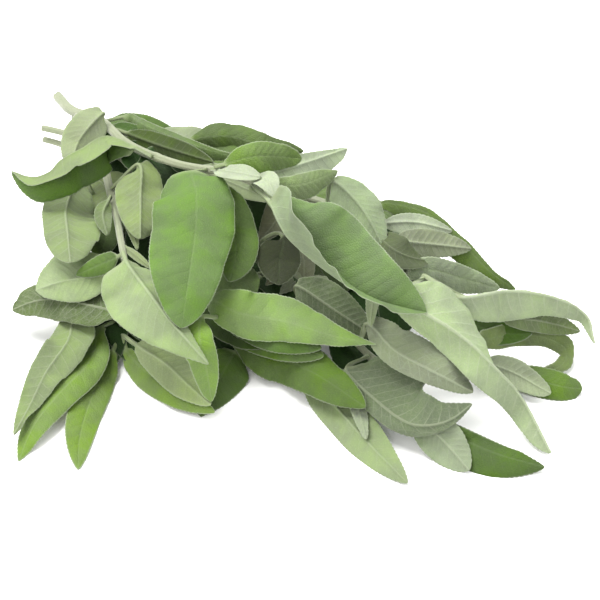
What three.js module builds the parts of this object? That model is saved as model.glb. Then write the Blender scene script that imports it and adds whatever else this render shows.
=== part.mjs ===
import * as THREE from 'three';

// A cut bunch of sage lying on a table: six stems that meet at their cut ends, and the leaves
// that grow from them, most of them fanned over the top and the front of the pile.
// +X runs along the bunch from the cut ends to the leaf tips, +Z is up, millimetres.
// The origin is under the middle of the bunch, on the surface that it rests on.

// ---- driving dimensions ------------------------------------------------------------------
const BLADE_THICKNESS = 0.6;
const KEEL_DEPTH = 0.8; // how far the midrib stands out of the underside at the petiole
const KEEL_FADE = 0.85; // share of that depth that is gone at the tip
const PETIOLE_HALF_WIDTH = 0.9;
const PETIOLE_SHARE = 0.1; // shortest petiole, as a share of the leaf's length
const PETIOLE_MIN = 5; // a foot nearer to the blade than this is joined to it directly
const MARGIN_ROLL = 10; // degrees that the outer half of each blade turns towards the underside
const UPPER_FLAT = 0.45; // half points on the upper side, as a share of the half-width
const UNDER_FLAT = 0.62; // and on the underside
const LEAF_RINGS = 12;
const FIRST_RING = 0.04; // share of the blade's length at its first ring
const LAST_RING = 0.95; // and at its last
const STEM_RINGS = 18;
const RING_POINTS = 8;
const AXIS_SAMPLES = 120; // places tried along a stem for a petiole's foot
const PILE_GAP = 0.4; // clear space left between two leaves that lie on each other
const STEM_GAP = 0.35; // between a petiole and the stem that it grows from
const PILE_CELL = 0.6; // grid pitch of the pile's surface
const GRID_SPAN = 4096; // more cells than the pile has across
const BEND_ALONG = 28; // tightest bend of a leaf along its midrib, where it drapes over others
const BEND_ACROSS = 10; // and across it
const LAY_POINT = new THREE.Vector3(415, -175, 345); // leaves are laid from this side
const LAY_TARGET = new THREE.Vector3(18, 18, 0); // the middle of the pile

// ---- materials ---------------------------------------------------------------------------
const upperGreen = new THREE.MeshStandardMaterial({ color: 0x6f8f45, roughness: 0.7, metalness: 0 });
const underGreen = new THREE.MeshStandardMaterial({ color: 0xa9ba8c, roughness: 0.85, metalness: 0 });
const stemGreen = new THREE.MeshStandardMaterial({ color: 0xb5bf93, roughness: 0.75, metalness: 0 });

// ---- the pile's surface, seen from the laying point ----------------------------------------
// Each cell holds the distance from the laying point to the nearest thing laid so far, so the
// next leaf can be lifted towards that point until it is clear of everything under it.
const forward = LAY_TARGET.clone().sub(LAY_POINT).normalize();
const across = forward.clone().cross(new THREE.Vector3(0, 0, 1)).normalize();
const upward = across.clone().cross(forward);
const cellAngle = PILE_CELL / LAY_TARGET.distanceTo(LAY_POINT);
const pile = new Map();

function sight(point) {
  const ray = point.clone().sub(LAY_POINT);
  const depth = ray.dot(forward) * cellAngle;
  return { u: ray.dot(across) / depth, v: ray.dot(upward) / depth, range: ray.length() };
}

const cellKey = (u, v) => Math.round(u) * GRID_SPAN + Math.round(v);

// The nearest thing laid in a cell and the eight round it.
function nearestLaid(u, v) {
  let nearest = Infinity;
  for (let du = -1; du <= 1; du += 1) {
    for (let dv = -1; dv <= 1; dv += 1) {
      nearest = Math.min(nearest, pile.get(cellKey(u + du, v + dv)) ?? Infinity);
    }
  }
  return nearest;
}

function tableRange(u, v) {
  const ray = forward.clone();
  ray.addScaledVector(across, u * cellAngle).addScaledVector(upward, v * cellAngle);
  return (-LAY_POINT.z / ray.z) * ray.length();
}

// How far a point of a surface has to come towards the laying point to be clear of the pile.
function liftNeeded(u, v, range, gap) {
  return Math.max(range - nearestLaid(u, v) + gap, range - tableRange(u, v));
}

// Visits a triangle at steps of half a cell.
function sampleTriangle(a, b, c, visit) {
  const longest = Math.max(
    Math.hypot(a.u - b.u, a.v - b.v),
    Math.hypot(b.u - c.u, b.v - c.v),
    Math.hypot(c.u - a.u, c.v - a.v),
  );
  const steps = Math.max(1, Math.ceil(longest * 2));
  for (let i = 0; i <= steps; i += 1) {
    for (let j = 0; j <= steps - i; j += 1) {
      const p = i / steps;
      const q = j / steps;
      const r = 1 - p - q;
      visit(
        a.u * p + b.u * q + c.u * r,
        a.v * p + b.v * q + c.v * r,
        a.range * p + b.range * q + c.range * r,
      );
    }
  }
}

function moveToLayPoint(point, lift) {
  point.addScaledVector(LAY_POINT.clone().sub(point).normalize(), lift);
}

// Lifts a ring solid clear of the pile and adds it to the pile. Each ring moves as one, and its
// neighbours follow in a smooth bend.
function layOnPile(solid) {
  const seen = solid.points.map(sight);
  const need = new Array(solid.stations.length).fill(0);
  for (const corners of solid.triangles) {
    let lift = 0;
    sampleTriangle(...corners.map((k) => seen[k]), (u, v, range) => {
      lift = Math.max(lift, liftNeeded(u, v, range, PILE_GAP));
    });
    for (const index of corners) {
      need[solid.ringOf[index]] = Math.max(need[solid.ringOf[index]], lift);
    }
  }
  const lifts = solid.stations.map((here) => {
    let lift = 0;
    need.forEach((most, j) => {
      lift = Math.max(lift, most - (here - solid.stations[j]) ** 2 / (2 * BEND_ALONG));
    });
    return lift;
  });
  solid.points.forEach((point, index) => moveToLayPoint(point, lifts[solid.ringOf[index]]));
  const laid = solid.points.map(sight);
  for (const corners of solid.triangles) {
    sampleTriangle(...corners.map((k) => laid[k]), (u, v, range) => {
      const key = cellKey(u, v);
      pile.set(key, Math.min(pile.get(key) ?? Infinity, range));
    });
  }
  return solid;
}

// Drapes a leaf's middle surface over the pile: every point of the grid is lifted towards the
// laying point as far as its own place needs, and the points round it follow in a smooth bend.
// Column 2 of the grid is the midrib.
function drape(grid) {
  const seen = grid.map((row) => row.map(sight));
  const need = grid.map((row) => row.map(() => 0));
  const gap = PILE_GAP + BLADE_THICKNESS / 2;
  for (let i = 0; i + 1 < grid.length; i += 1) {
    for (let j = 0; j + 1 < grid[i].length; j += 1) {
      const corners = [[i, j], [i, j + 1], [i + 1, j], [i + 1, j + 1]];
      for (const picked of [[0, 1, 2], [1, 3, 2]]) {
        const triangle = picked.map((k) => corners[k]);
        let lift = 0;
        sampleTriangle(...triangle.map(([p, q]) => seen[p][q]), (u, v, range) => {
          lift = Math.max(lift, liftNeeded(u, v, range, gap), range - tableRange(u, v) + gap);
        });
        for (const [p, q] of triangle) need[p][q] = Math.max(need[p][q], lift);
      }
    }
  }
  const lifts = grid.map((row, i) => row.map((point, j) => {
    let lift = 0;
    grid.forEach((otherRow, p) => otherRow.forEach((other, q) => {
      if (need[p][q] <= lift) return;
      const along = grid[i][2].distanceTo(grid[p][2]);
      const aside = Math.abs(q - j) * other.distanceTo(grid[p][2]) / Math.max(1, Math.abs(q - 2));
      const bend = along ** 2 / (2 * BEND_ALONG) + aside ** 2 / (2 * BEND_ACROSS);
      lift = Math.max(lift, need[p][q] - bend);
    }));
    return lift;
  }));
  grid.forEach((row, i) => row.forEach((point, j) => moveToLayPoint(point, lifts[i][j])));
}

// ---- ring solids ---------------------------------------------------------------------------
// A closed body through a row of rings with RING_POINTS points each and a point at each end.
// stations are the rings' distances along the body.
function ringSolid(rings, firstEnd, lastEnd, stations) {
  const points = [firstEnd, ...rings.flat(), lastEnd];
  const last = points.length - 1;
  const at = (ring, k) => 1 + ring * RING_POINTS + (k % RING_POINTS);
  const triangles = [];
  for (let k = 0; k < RING_POINTS; k += 1) {
    triangles.push([0, at(0, k + 1), at(0, k)]);
    triangles.push([last, at(rings.length - 1, k), at(rings.length - 1, k + 1)]);
    for (let ring = 0; ring < rings.length - 1; ring += 1) {
      triangles.push([at(ring, k), at(ring, k + 1), at(ring + 1, k)]);
      triangles.push([at(ring, k + 1), at(ring + 1, k + 1), at(ring + 1, k)]);
    }
  }
  const ringOf = points.map((point, index) => {
    const ring = Math.floor((index - 1) / RING_POINTS);
    return Math.min(Math.max(ring, 0), rings.length - 1);
  });
  return { points, triangles, ringOf, stations };
}

function solidMesh(name, solid, material) {
  const geometry = new THREE.BufferGeometry();
  const places = solid.points.flatMap((p) => p.toArray());
  geometry.setAttribute('position', new THREE.Float32BufferAttribute(places, 3));
  geometry.setIndex(solid.triangles.flat());
  geometry.computeVertexNormals();
  const mesh = new THREE.Mesh(geometry, material);
  mesh.name = name;
  return mesh;
}

// ---- stems ---------------------------------------------------------------------------------
// butt and top are the radii at the cut end and at the shoot's end.
const STEMS = {
  crown_stem: {
    butt: 2.3,
    top: 1.3,
    route: [[-144, -26, 19], [-119, -27, 25], [-97, -22, 31], [-58, -22, 40], [-21, -15, 50],
      [4, -4, 57], [18, 1, 59]],
  },
  low_stem: {
    butt: 1.4,
    top: 1.1,
    route: [[-127, -39, 15], [-107, -28, 18], [-80, -20, 21], [-46, -13, 23], [-13, -15, 22],
      [15, -20, 18], [32, -21, 11], [43, -14, 5], [56, -7, 3]],
  },
  left_stem: {
    butt: 2,
    top: 1.2,
    route: [[-116, -26, 23], [-86, -26, 29], [-50, -35, 32], [-23, -41, 33], [-4, -46, 35],
      [8, -49, 34]],
  },
  right_stem: {
    butt: 2,
    top: 1.2,
    route: [[-129, -23, 16], [-93, -17, 27], [-43, -6, 37], [-1, 10, 45], [23, 28, 45], [44, 43, 38],
      [63, 47, 31]],
  },
  front_stem: {
    butt: 2.1,
    top: 1.2,
    route: [[-131, -23, 8], [-95, -16, 13], [-31, -8, 16], [20, 0, 17], [51, 10, 17], [64, 17, 14],
      [75, 21, 10]],
  },
  side_stem: {
    butt: 1.4,
    top: 1.2,
    route: [[-127, -39, 9], [-114, -32, 10], [-89, -32, 12], [-49, -40, 17], [-16, -47, 17],
      [3, -52, 11], [16, -55, 5]],
  },
};
const smoothLine = (route) => new THREE.CatmullRomCurve3(route, false, 'centripetal');
for (const plan of Object.values(STEMS)) {
  plan.axis = smoothLine(plan.route.map((p) => new THREE.Vector3(...p)));
}

function stem(name) {
  const { butt, top, axis } = STEMS[name];
  const rings = [];
  const stations = [];
  for (let i = 0; i < STEM_RINGS; i += 1) {
    const s = i / (STEM_RINGS - 1);
    const centre = axis.getPointAt(s);
    const along = axis.getTangentAt(s);
    const side = along.clone().cross(new THREE.Vector3(0, 0, 1)).normalize();
    const over = side.clone().cross(along);
    const radius = butt + (top - butt) * s;
    const ring = [];
    for (let k = 0; k < RING_POINTS; k += 1) {
      const angle = (2 * Math.PI * k) / RING_POINTS;
      const spoke = side.clone().multiplyScalar(Math.cos(angle));
      spoke.addScaledVector(over, -Math.sin(angle));
      ring.push(centre.clone().addScaledVector(spoke, radius));
    }
    rings.push(ring);
    stations.push(s * axis.getLength());
  }
  const solid = layOnPile(ringSolid(rings, axis.getPointAt(0), axis.getPointAt(1), stations));
  // the leaves laid after this grow from the stem where it now lies
  const opposite = RING_POINTS / 2;
  STEMS[name].axis = smoothLine(rings.map((ring) => ring[0].clone().lerp(ring[opposite], 0.5)));
  return solidMesh(name, solid, stemGreen);
}

// The point just off a stem's surface that is nearest to a leaf's first point, on its side.
function petioleFoot(stemName, first, next) {
  const { axis, butt, top } = STEMS[stemName];
  const samples = axis.getSpacedPoints(AXIS_SAMPLES);
  let best = 0;
  samples.forEach((point, index) => {
    if (point.distanceTo(first) < samples[best].distanceTo(first)) best = index;
  });
  const s = best / AXIS_SAMPLES;
  const along = axis.getTangentAt(s);
  const towards = first.clone().sub(samples[best]);
  if (towards.length() < butt) towards.copy(next).sub(samples[best]);
  towards.addScaledVector(along, -towards.dot(along)).normalize();
  const radius = butt + (top - butt) * s;
  return samples[best].clone().addScaledVector(towards, radius + STEM_GAP);
}

// ---- leaves --------------------------------------------------------------------------------
// How fast a blade widens from its base and narrows to its tip; a lower power is blunter.
const BROAD = [0.55, 0.72];

// Share of the greatest half-width at a share of the blade's length: round at the base, widest
// a little before the middle, and blunt at the tip.
function bladeShape(u, [rise, fall]) {
  const peak = rise / (rise + fall);
  return (u ** rise * (1 - u) ** fall) / (peak ** rise * (1 - peak) ** fall);
}

// The closed body round a leaf's middle surface. The upper side's half points stand nearer to
// the midrib than the underside's, and the keel stands out of the underside.
function bladeRing(grid, i, share, underside) {
  const row = grid[i];
  const before = grid[Math.max(0, i - 1)][2];
  const after = grid[Math.min(LEAF_RINGS - 1, i + 1)][2];
  const along = after.clone().sub(before).normalize();
  const faces = [-1, 1].map((side) => {
    const out = row[2 + 2 * side].clone().sub(row[2]);
    return out.cross(along).multiplyScalar(side).normalize();
  });
  const keel = KEEL_DEPTH * (1 - KEEL_FADE * share);
  const ridge = faces[0].clone().add(faces[1]).normalize();
  const skin = BLADE_THICKNESS / 2;
  const half = (side, isFront) => {
    const flat = isFront === underside ? UNDER_FLAT : UPPER_FLAT;
    const middle = row[2 + side];
    const point = flat > 0.5
      ? middle.clone().lerp(row[2 + 2 * side], 2 * flat - 1)
      : middle.clone().lerp(row[2], 1 - 2 * flat);
    return point.addScaledVector(faces[(side + 1) / 2], isFront ? skin : -skin);
  };
  return [
    row[0].clone(),
    half(-1, true),
    row[2].clone().addScaledVector(ridge, skin + (underside ? keel : 0)),
    half(1, true),
    row[4].clone(),
    half(1, false),
    row[2].clone().addScaledVector(ridge, -skin - (underside ? 0 : keel)),
    half(-1, false),
  ];
}

// One leaf. midrib runs from the petiole's end of the blade to the tip. wide is the half-width
// left and right of the midrib, looking from base to tip. Each half is tilted about the midrib,
// from facing the laying point (0) to edge on (90), at the base and at the tip; turn is the share
// of the leaf over which the tilt changes. shows says which side faces the laying point. taper,
// or leftTaper and rightTaper, say how blunt the halves are.
function leaf(name, stemName, {
  midrib, wide, base, tip, shows, taper = BROAD, leftTaper = taper, rightTaper = taper, turn = [0, 1],
}) {
  const route = midrib.map((p) => new THREE.Vector3(...p));
  const foot = petioleFoot(stemName, route[0], route[1]);
  const petiole = foot.distanceTo(route[0]);
  if (petiole > PETIOLE_MIN) route.unshift(foot);
  else route[0] = foot;
  const line = smoothLine(route);
  const length = line.getLength();
  const bladeStart = Math.max(PETIOLE_SHARE, petiole > PETIOLE_MIN ? petiole / length : 0);
  const underside = shows === 'under';
  const roll = THREE.MathUtils.degToRad(underside ? MARGIN_ROLL : -MARGIN_ROLL);

  // the middle surface: left margin, left half, midrib, right half, right margin at each ring
  const grid = [];
  const shares = [];
  for (let i = 0; i < LEAF_RINGS; i += 1) {
    // the first ring is the petiole's foot and the second the blade's base
    const inBlade = i > 0;
    const u = FIRST_RING + (LAST_RING - FIRST_RING) * ((i - 1) / (LEAF_RINGS - 2));
    const s = inBlade ? bladeStart + (1 - bladeStart) * u : 0;
    const centre = line.getPointAt(s);
    const along = line.getTangentAt(s);
    const facing = LAY_POINT.clone().sub(centre).normalize();
    facing.addScaledVector(along, -facing.dot(along)).normalize();
    const right = along.clone().cross(facing);
    const turned = THREE.MathUtils.clamp((s - turn[0]) / (turn[1] - turn[0]), 0, 1);
    const halves = [-1, 1].map((side, h) => {
      const tilt = THREE.MathUtils.degToRad(base[h] + (tip[h] - base[h]) * turned);
      const outline = h === 0 ? leftTaper : rightTaper;
      const reach = Math.max(PETIOLE_HALF_WIDTH, inBlade ? wide[h] * bladeShape(u, outline) : 0);
      const step = (angle) => {
        const outward = right.clone().multiplyScalar(side * Math.cos(angle));
        return outward.addScaledVector(facing, Math.sin(angle)).multiplyScalar(reach / 2);
      };
      const middle = centre.clone().add(step(tilt));
      return [middle, middle.clone().add(step(tilt + roll))];
    });
    grid.push([halves[0][1], halves[0][0], centre, halves[1][0], halves[1][1]]);
    shares.push(s);
  }
  drape(grid);

  const rings = grid.map((row, i) => bladeRing(grid, i, shares[i], underside));
  const stations = shares.map((s) => s * length);
  const end = grid[LEAF_RINGS - 1][2];
  const tipStep = end.clone().sub(grid[LEAF_RINGS - 2][2]).normalize();
  const tipPoint = end.clone().addScaledVector(tipStep, length - stations[LEAF_RINGS - 1]);
  const solid = layOnPile(ringSolid(rings, grid[0][2].clone(), tipPoint, stations));
  return solidMesh(name, solid, underside ? underGreen : upperGreen);
}

// ---- the bunch, in the order that it is laid ------------------------------------------------
const bunch = new THREE.Group();
bunch.add(
  // the back of the pile
  leaf('back_leaf_1', 'right_stem', {
    shows: 'upper', wide: [8, 8], base: [-60, 60], tip: [-60, 60],
    midrib: [[-82, -10, 26], [-86, 2, 22], [-82, 12, 12], [-76, 18, 1]],
  }),
  leaf('back_leaf_2', 'right_stem', {
    shows: 'upper', wide: [9, 9], base: [-60, 60], tip: [-60, 60],
    midrib: [[-58, -4, 30], [-62, 8, 27], [-58, 20, 16], [-50, 32, 1]],
  }),
  leaf('back_leaf_3', 'right_stem', {
    shows: 'under', wide: [10, 10], base: [-60, 60], tip: [-60, 60],
    midrib: [[-34, 2, 34], [-38, 16, 31], [-34, 32, 19], [-26, 44, 3]],
  }),
  leaf('back_leaf_4', 'right_stem', {
    shows: 'upper', wide: [10, 10], base: [-60, 60], tip: [-60, 60],
    midrib: [[-8, 12, 39], [-14, 28, 36], [-12, 46, 24], [-6, 60, 6]],
  }),
  leaf('back_leaf_5', 'right_stem', {
    shows: 'upper', wide: [10, 10], base: [-60, 60], tip: [-60, 60],
    midrib: [[8, 24, 39], [1, 40, 35], [0, 58, 23], [6, 74, 6]],
  }),
  // inner stems
  stem('side_stem'),
  stem('front_stem'),
  stem('low_stem'),
  stem('right_stem'),
  // right fan
  leaf('right_leaf_1', 'right_stem', {
    shows: 'upper', wide: [2.2, 7], base: [-30, 20], tip: [-20, 10],
    midrib: [[34, 40, 48], [39, 59, 43], [52, 68, 35], [64, 76, 25], [68, 85, 17]],
  }),
  leaf('right_leaf_2', 'right_stem', {
    shows: 'under', wide: [3.5, 5], base: [-20, 10], tip: [-20, 10],
    midrib: [[39, 40, 46], [43, 53, 42], [47, 68, 36]],
  }),
  leaf('right_leaf_3', 'right_stem', {
    shows: 'under', wide: [6, 5], base: [-20, -10], tip: [-20, 0],
    midrib: [[51, 41, 42], [51, 54, 37], [52, 74, 29]],
  }),
  leaf('right_leaf_4', 'right_stem', {
    shows: 'upper', wide: [5.2, 6], base: [0, 0], tip: [0, 0],
    midrib: [[59, 40, 35], [59, 54, 30], [63, 65, 25], [66, 79, 18]],
  }),
  leaf('right_leaf_5', 'right_stem', {
    shows: 'under', wide: [7.5, 10], base: [-40, -20], tip: [-30, -10],
    midrib: [[25, 28, 57], [35, 32, 54], [44, 34, 49], [53, 35, 42]],
  }),
  // top
  leaf('top_leaf_1', 'right_stem', {
    shows: 'upper', wide: [6, 9], base: [-20, -20], tip: [-20, -20],
    midrib: [[-49, 1, 40], [-38, 12, 46], [-25, 23, 46], [-21, 39, 41]],
  }),
  leaf('top_leaf_2', 'crown_stem', {
    shows: 'upper', wide: [2, 7], base: [0, -20], tip: [0, -20],
    midrib: [[-93, -13, 33], [-62, -11, 43], [-31, -4, 50], [-10, 6, 53]],
  }),
  leaf('top_leaf_3', 'crown_stem', {
    shows: 'under', wide: [5, 5], base: [-20, -20], tip: [-10, -20],
    midrib: [[-76, -16, 37], [-41, -13, 46], [-12, -4, 53]],
  }),
  leaf('top_leaf_4', 'right_stem', {
    shows: 'under', wide: [4.5, 7.5], base: [-10, -10], tip: [-10, -10], taper: [0.5, 0.6],
    leftTaper: [0.5, 1],
    midrib: [[3, 3, 52], [6, 20, 54], [-1, 48, 51]],
  }),
  stem('crown_stem'),
  leaf('top_leaf_5', 'crown_stem', {
    shows: 'upper', wide: [5.5, 6], base: [10, -5], tip: [10, -5], taper: [0.6, 0.6],
    midrib: [[-2, -7, 60], [6, 6, 63], [12, 22, 61]],
  }),
  leaf('top_leaf_6', 'crown_stem', {
    shows: 'upper', wide: [4, 6], base: [0, -20], tip: [0, -20],
    midrib: [[21, -1, 60], [26, 14, 60], [20, 33, 57]],
  }),
  // tips at the far right
  leaf('curled_leaf', 'right_stem', {
    shows: 'upper', wide: [4.6, 4.2], base: [0, -5], tip: [0, 0], taper: [0.25, 0.6],
    midrib: [[87, 56, 18], [87, 73, 13], [89, 85, 9], [92, 89, 7], [96, 91, 5], [99, 88, 4],
      [101, 82, 4], [99, 75, 3]],
  }),
  leaf('right_leaf_10', 'front_stem', {
    shows: 'upper', wide: [5, 6], base: [0, 0], tip: [0, 0], taper: [0.5, 0.4],
    midrib: [[95, 61, 6], [103, 72, 4], [110, 80, 3], [112, 87, 1]],
  }),
  leaf('right_leaf_6', 'front_stem', {
    shows: 'under', wide: [5, 5.5], base: [0, 0], tip: [10, 10], taper: [0.4, 0.6],
    midrib: [[92, 57, 9], [99, 66, 6], [107, 70, 5], [112, 73, 4]],
  }),
  leaf('right_leaf_7', 'right_stem', {
    shows: 'under', wide: [5, 4.5], base: [-5, -5], tip: [0, 0],
    midrib: [[82, 68, 21], [87, 85, 15], [93, 98, 10]],
  }),
  leaf('right_leaf_8', 'right_stem', {
    shows: 'under', wide: [4, 10.5], base: [-95, -15], tip: [-80, -15], taper: [0.4, 1],
    midrib: [[84, 48, 37], [84, 70, 32], [87, 85, 27], [91, 93, 23], [95, 98, 19], [104, 96, 13]],
  }),
  // lower front
  leaf('front_leaf_1', 'front_stem', {
    shows: 'upper', wide: [4, 9], base: [0, 0], tip: [10, 10], taper: [0.4, 0.7],
    midrib: [[109, 28, 5], [127, 37, 4], [140, 52, 1]],
  }),
  leaf('front_leaf_2', 'front_stem', {
    shows: 'under', wide: [7, 8], base: [-10, -10], tip: [-10, -10],
    midrib: [[103, 22, 7], [115, 25, 5], [130, 28, 1]],
  }),
  leaf('front_leaf_3', 'low_stem', {
    shows: 'upper', wide: [9.5, 11], base: [0, 0], tip: [10, 10], taper: [0.5, 0.6],
    leftTaper: [0.5, 1],
    midrib: [[39, -19, 4], [51, -30, 4], [58, -37, 2], [65, -44, 1]],
  }),
  leaf('front_leaf_4', 'low_stem', {
    shows: 'under', wide: [7.5, 7.5], base: [-8, -8], tip: [-8, -8],
    midrib: [[63, -3, 5], [83, 0, 4], [103, 2, 3], [126, 6, 1]],
  }),
  leaf('front_leaf_5', 'low_stem', {
    shows: 'under', wide: [3, 3], base: [0, 0], tip: [0, 0], taper: [0.5, 0.7],
    midrib: [[72, 8, 8], [85, 7, 7], [104, 2, 4]],
  }),
  leaf('front_leaf_6', 'front_stem', {
    shows: 'under', wide: [17, 5], base: [-10, -20], tip: [-10, -10], taper: [0.55, 1],
    midrib: [[76, 8, 13], [93, 12, 9], [106, 19, 6], [110, 30, 6], [108, 42, 8]],
  }),
  leaf('front_leaf_7', 'low_stem', {
    shows: 'upper', wide: [9, 9], base: [-15, 0], tip: [-15, 0],
    midrib: [[33, -24, 9], [48, -15, 9], [68, -2, 9], [92, 8, 7]],
  }),
  leaf('front_leaf_8', 'low_stem', {
    shows: 'upper', wide: [7, 7], base: [-20, 0], tip: [-20, 0],
    midrib: [[27, -23, 12], [47, -12, 13], [67, 4, 13]],
  }),
  leaf('front_leaf_9', 'low_stem', {
    shows: 'upper', wide: [7, 7], base: [-20, 0], tip: [-20, 0],
    midrib: [[26, -23, 16], [49, -12, 18], [67, 3, 17]],
  }),
  // middle
  leaf('inner_leaf', 'low_stem', {
    shows: 'upper', wide: [8, 8], base: [0, 0], tip: [0, 0],
    midrib: [[28, 6, 40], [36, 1, 36], [44, -3, 32]],
  }),
  leaf('front_leaf_10', 'front_stem', {
    shows: 'under', wide: [8, 8], base: [-5, -5], tip: [-5, -5],
    midrib: [[44, 4, 29], [59, 12, 26], [71, 22, 19]],
  }),
  leaf('front_leaf_11', 'front_stem', {
    shows: 'under', wide: [9, 6], base: [-10, -20], tip: [-10, -20],
    midrib: [[71, 19, 26], [84, 23, 22], [94, 32, 17], [104, 45, 9]],
  }),
  leaf('right_leaf_9', 'right_stem', {
    shows: 'under', wide: [15, 9], base: [-8, -10], tip: [-92, -10], taper: [0.42, 0.8],
    leftTaper: [0.6, 2], rightTaper: [0.42, 0.55], turn: [0.2, 0.63],
    midrib: [[77, 28, 39], [86, 34, 36], [92, 40, 32], [99, 45, 28], [108, 49, 23], [116, 56, 13],
      [136, 57, 2]],
  }),
  leaf('crown_leaf_1', 'low_stem', {
    shows: 'upper', wide: [7, 8.5], base: [-10, -10], tip: [-10, -10], taper: [0.5, 0.5],
    midrib: [[27, -25, 18], [27, -17, 22], [27, -9, 24], [29, -4, 25]],
  }),
  leaf('front_leaf_12', 'low_stem', {
    shows: 'upper', wide: [9.5, 8.5], base: [-8, -8], tip: [-8, -8], taper: [0.5, 1.1],
    midrib: [[26, -24, 21], [43, -19, 24], [58, -6, 26], [71, 4, 26], [82, 17, 25]],
  }),
  // left side
  leaf('left_leaf_1', 'side_stem', {
    shows: 'upper', wide: [6.5, 6.5], base: [5, 5], tip: [5, 5],
    midrib: [[17, -58, 4], [31, -69, 4], [46, -80, 3], [58, -87, 2], [71, -92, 1]],
  }),
  leaf('left_leaf_2', 'side_stem', {
    shows: 'upper', wide: [6, 6], base: [-10, -5], tip: [-10, -5],
    midrib: [[21, -56, 4], [36, -54, 4], [52, -48, 3], [66, -39, 2]],
  }),
  leaf('left_leaf_3', 'side_stem', {
    shows: 'upper', wide: [7, 6], base: [18, -20], tip: [18, -20],
    midrib: [[8, -60, 9], [25, -71, 7], [35, -86, 5], [45, -99, 3], [58, -109, 1]],
  }),
  leaf('left_leaf_4', 'side_stem', {
    shows: 'under', wide: [9, 7], base: [15, -25], tip: [10, -20], taper: [0.4, 0.8],
    leftTaper: [0.4, 1.4],
    midrib: [[5, -68, 13], [16, -76, 11], [26, -88, 8], [36, -97, 5], [47, -107, 3]],
  }),
  leaf('left_leaf_5', 'side_stem', {
    shows: 'under', wide: [9, 10], base: [15, -35], tip: [10, -30],
    midrib: [[16, -56, 17], [6, -63, 16], [-5, -71, 14], [-11, -80, 12], [-12, -89, 10]],
  }),
  leaf('left_leaf_8', 'side_stem', {
    shows: 'under', wide: [9, 13], base: [0, -20], tip: [0, -20],
    midrib: [[-5, -52, 24], [-2, -61, 24], [-8, -70, 20], [-11, -79, 17]],
  }),
  leaf('left_leaf_9', 'side_stem', {
    shows: 'under', wide: [13, 9.5], base: [-15, -15], tip: [-15, -15], taper: [0.8, 0.6],
    midrib: [[-66, -40, 26], [-39, -56, 31], [-19, -62, 33], [-1, -67, 33]],
  }),
  stem('left_stem'),
  leaf('left_leaf_6', 'left_stem', {
    shows: 'under', wide: [10, 10], base: [-20, -20], tip: [-20, -20],
    midrib: [[-39, -25, 42], [-22, -31, 38], [-5, -38, 32]],
  }),
  leaf('left_leaf_7', 'left_stem', {
    shows: 'under', wide: [3.6, 3.2], base: [-10, -10], tip: [-10, -10],
    midrib: [[-34, -41, 36], [-24, -46, 34], [-14, -48, 31]],
  }),
  leaf('left_leaf_10', 'left_stem', {
    shows: 'upper', wide: [4, 4], base: [10, -20], tip: [10, -20],
    midrib: [[2, -50, 30], [-4, -56, 26], [-7, -64, 22]],
  }),
  leaf('left_leaf_11', 'side_stem', {
    shows: 'under', wide: [7, 7], base: [-12, -12], tip: [-12, -12],
    midrib: [[29, -54, 11], [42, -48, 10], [55, -44, 8], [65, -40, 5]],
  }),
  leaf('front_leaf_13', 'low_stem', {
    shows: 'upper', wide: [5, 6.5], base: [-15, -15], tip: [0, 0],
    midrib: [[35, -30, 20], [47, -36, 20], [54, -37, 15], [66, -40, 7]],
  }),
  leaf('left_leaf_12', 'left_stem', {
    shows: 'under', wide: [7, 15.5], base: [-50, -8], tip: [-40, -8], taper: [0.35, 0.95],
    midrib: [[6, -49, 37], [15, -50, 37], [30, -48, 34], [43, -44, 27], [57, -37, 17]],
  }),
  // the big leaves on top
  leaf('crown_leaf_2', 'crown_stem', {
    shows: 'upper', wide: [9, 9], base: [-5, -5], tip: [-5, -5],
    midrib: [[2, -7, 50], [19, -10, 44], [29, -13, 39], [38, -20, 35]],
  }),
  // over the cut ends
  leaf('left_leaf_13', 'left_stem', {
    shows: 'under', wide: [8, 7.5], base: [-20, -20], tip: [-20, -20], taper: [0.45, 0.5],
    midrib: [[-86, -23, 40], [-77, -31, 42], [-71, -39, 39], [-62, -46, 35]],
  }),
  leaf('left_leaf_14', 'crown_stem', {
    shows: 'upper', wide: [14.5, 11], base: [0, 120], tip: [0, 128], taper: [0.5, 0.9],
    leftTaper: [0.7, 0.9], rightTaper: [0.8, 1.2],
    midrib: [[-36, -25, 48], [-52, -33, 50], [-49, -44, 49], [-48, -53, 47], [-45, -61, 44],
      [-50, -67, 42], [-58, -71, 41]],
  }),
  leaf('crown_leaf_3', 'crown_stem', {
    shows: 'upper', wide: [14, 16.5], base: [-5, -5], tip: [0, 0], taper: [0.45, 0.62],
    midrib: [[-3, -16, 58], [12, -21, 58], [25, -27, 52], [40, -37, 39], [48, -43, 29]],
  }),
  leaf('crown_leaf_4', 'crown_stem', {
    shows: 'upper', wide: [20.5, 16.5], base: [15, 150], tip: [10, 70], taper: [0.38, 0.75],
    leftTaper: [0.6, 0.75],
    midrib: [[33, -1, 61], [49, -2, 57], [63, 6, 49], [78, 17, 43], [88, 33, 38]],
  }),
);

// ---- stand the bunch on z = 0 with the origin under its middle --------------------------------
const box = new THREE.Box3().setFromObject(bunch, true);
const middle = box.getCenter(new THREE.Vector3());
bunch.position.set(-middle.x, -middle.y, -box.min.z);

export default bunch;
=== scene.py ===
import math

import bpy
import numpy as np
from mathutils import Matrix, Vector
from mathutils.bvhtree import BVHTree


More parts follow.
